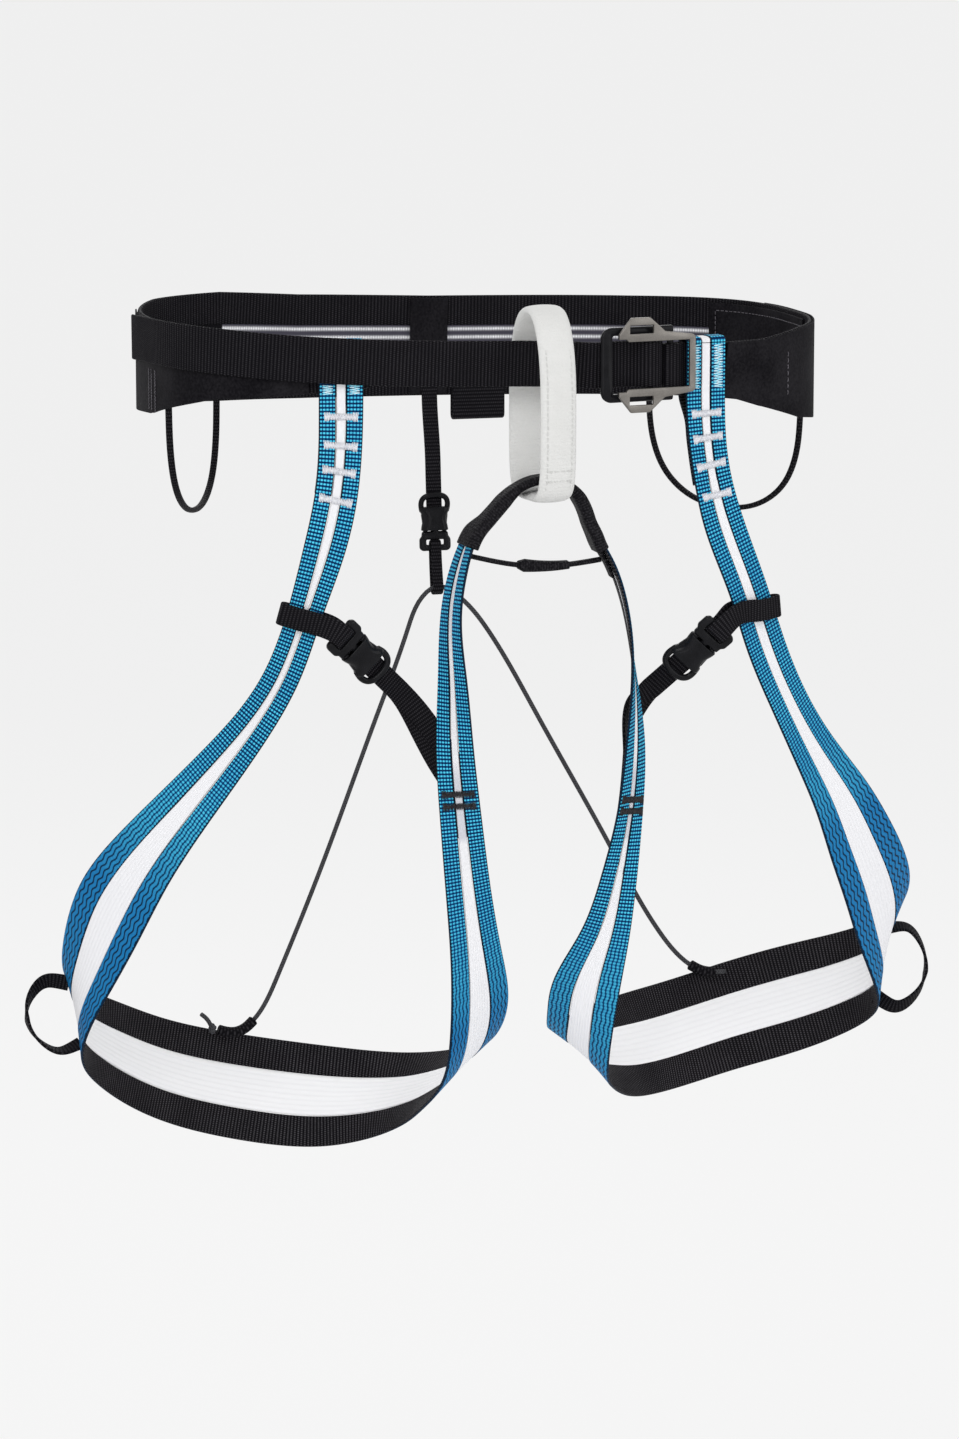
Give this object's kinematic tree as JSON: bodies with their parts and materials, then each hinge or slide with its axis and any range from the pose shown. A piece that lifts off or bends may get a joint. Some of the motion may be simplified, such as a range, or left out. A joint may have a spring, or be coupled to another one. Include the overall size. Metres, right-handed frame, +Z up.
{
  "type": "climbing harness",
  "caption": "Sit harness with a waist belt, split-webbing leg loops, belay loop, two-plate waist buckle, side-release leg buckles and gear loops.",
  "frame": {"origin": "middle of the waist belt's opening, at the height of the middle of the belt", "axes": "+Z up as worn, -Y to the front where the belay loop is, +X to the side of the waist buckle"},
  "size_m": [0.4368, 0.1902, 0.4049],
  "materials": {
    "blue_webbing": "woven",
    "white_panel": "ribbed",
    "black_webbing": "woven",
    "grey_stripe_panel": "woven stripes",
    "off_white_loop": "soft",
    "silver_plate": "satin",
    "black_plastic": "semi-gloss",
    "grey_cord": "braided"
  },
  "bodies": {
    "harness": {"belt_upper_strip": "black_webbing", "belt_panel": "grey_stripe_panel", "belt_lower_strip": "black_webbing", "belt_cover_left": "black_webbing", "belt_cover_right": "black_webbing", "label_patch": "black_webbing", "rear_patch": "black_webbing", "rear_tab": "black_webbing", "left_leg_upper_strip": "blue_webbing", "left_leg_panel": "white_panel", "left_leg_lower_strip": "blue_webbing", "left_riser_backing": "blue_webbing", "left_leg_side_loop": "black_webbing", "left_leg_clip_plug": "black_plastic", "left_leg_strap_loop": "black_webbing", "left_leg_strap_inner": "black_webbing", "right_leg_upper_strip": "blue_webbing", "right_leg_panel": "white_panel", "right_leg_lower_strip": "blue_webbing", "right_riser_backing": "blue_webbing", "right_leg_side_loop": "black_webbing", "right_leg_clip_plug": "black_plastic", "right_leg_strap_loop": "black_webbing", "right_leg_strap_inner": "black_webbing", "bridge_strap": "black_webbing", "bridge_sheath": "black_webbing", "bridge_keeper": "black_webbing", "bridge_keeper_fold": "black_webbing", "waist_buckle_base": "black_plastic", "front_strap": "black_webbing", "buckle_anchor": "black_webbing", "rear_clip_plug": "black_plastic", "rear_strap_upper": "black_webbing", "rear_strap_lower": "black_webbing", "elastic_cord": "grey_cord", "left_cord_sleeve": "black_webbing", "right_cord_sleeve": "black_webbing", "cord_knot": "grey_cord"},
    "belay_loop": {"belay_loop": "off_white_loop"},
    "waist_plate": {"waist_buckle_plate": "silver_plate"},
    "left_gear_loop": {"left_gear_loop": "black_webbing"},
    "right_gear_loop": {"right_gear_loop": "black_webbing"},
    "left_clip_body": {"left_leg_clip_body": "black_plastic"},
    "left_clip_arm_a": {"left_leg_clip_arm_a": "black_plastic"},
    "left_clip_arm_b": {"left_leg_clip_arm_b": "black_plastic"},
    "right_clip_body": {"right_leg_clip_body": "black_plastic"},
    "right_clip_arm_a": {"right_leg_clip_arm_a": "black_plastic"},
    "right_clip_arm_b": {"right_leg_clip_arm_b": "black_plastic"},
    "rear_clip_body": {"rear_clip_body": "black_plastic"},
    "rear_clip_arm_a": {"rear_clip_arm_a": "black_plastic"},
    "rear_clip_arm_b": {"rear_clip_arm_b": "black_plastic"}
  },
  "joints": [
    {"name": "belay_loop_swing", "type": "hinge", "parent": "harness", "child": "belay_loop", "pos_m": [0.0055, -0.0855, 0.008], "axis": [0.9903, 0.1392, 0], "range_deg": [-4, 3]},
    {"name": "waist_buckle_tilt", "type": "hinge", "parent": "harness", "child": "waist_plate", "pos_m": [0.0739, -0.08536, 0.009], "axis": [0, 0, 1], "range_deg": [0, 25]},
    {"name": "left_gear_loop_swing", "type": "hinge", "parent": "harness", "child": "left_gear_loop", "pos_m": [-0.12546, 0.02196, -0.01625], "axis": [0.4084, 0.9078, -0.0955], "range_deg": [-20, 45]},
    {"name": "right_gear_loop_swing", "type": "hinge", "parent": "harness", "child": "right_gear_loop", "pos_m": [0.12711, 0.02966, -0.02589], "axis": [0.4773, -0.8788, -0.004], "range_deg": [-20, 45]},
    {"name": "left_clip_slide", "type": "slide", "parent": "harness", "child": "left_clip_body", "axis": [0.6831, 0.3225, -0.6553], "range_m": [0, 0.01]},
    {"name": "left_clip_arm_a_squeeze", "type": "hinge", "parent": "harness", "child": "left_clip_arm_a", "pos_m": [-0.07699, -0.08679, -0.10568], "axis": [0.2327, -0.9466, -0.2232], "range_deg": [-9.1, 0]},
    {"name": "left_clip_arm_b_squeeze", "type": "hinge", "parent": "harness", "child": "left_clip_arm_b", "pos_m": [-0.08433, -0.08679, -0.11333], "axis": [0.2327, -0.9466, -0.2232], "range_deg": [0, 9.1]},
    {"name": "right_clip_slide", "type": "slide", "parent": "harness", "child": "right_clip_body", "axis": [-0.6344, 0.3785, -0.674], "range_m": [0, 0.01]},
    {"name": "right_clip_arm_a_squeeze", "type": "hinge", "parent": "harness", "child": "right_clip_arm_a", "pos_m": [0.08434, -0.08571, -0.1189], "axis": [-0.2594, -0.9256, -0.2756], "range_deg": [-9.1, 0]},
    {"name": "right_clip_arm_b_squeeze", "type": "hinge", "parent": "harness", "child": "right_clip_arm_b", "pos_m": [0.07662, -0.08571, -0.11163], "axis": [-0.2594, -0.9256, -0.2756], "range_deg": [0, 9.1]},
    {"name": "rear_clip_slide", "type": "slide", "parent": "harness", "child": "rear_clip_body", "axis": [0, 0.0937, 0.9956], "range_m": [0, 0.0086]},
    {"name": "rear_clip_arm_a_squeeze", "type": "hinge", "parent": "harness", "child": "rear_clip_arm_a", "pos_m": [-0.00456, 0.0702, -0.08505], "axis": [0, -0.9956, 0.0937], "range_deg": [-9.1, 0]},
    {"name": "rear_clip_arm_b_squeeze", "type": "hinge", "parent": "harness", "child": "rear_clip_arm_b", "pos_m": [0.00456, 0.0702, -0.08505], "axis": [0, -0.9956, 0.0937], "range_deg": [0, 9.1]}
  ],
  "couplings": [
    {"joint": "left_clip_arm_a_squeeze", "follows": "left_clip_slide", "rad_per_m": -15.708},
    {"joint": "left_clip_arm_b_squeeze", "follows": "left_clip_slide", "rad_per_m": 15.708},
    {"joint": "right_clip_arm_a_squeeze", "follows": "right_clip_slide", "rad_per_m": -15.708},
    {"joint": "right_clip_arm_b_squeeze", "follows": "right_clip_slide", "rad_per_m": 15.708},
    {"joint": "rear_clip_arm_a_squeeze", "follows": "rear_clip_slide", "rad_per_m": -18.265},
    {"joint": "rear_clip_arm_b_squeeze", "follows": "rear_clip_slide", "rad_per_m": 18.265}
  ]
}
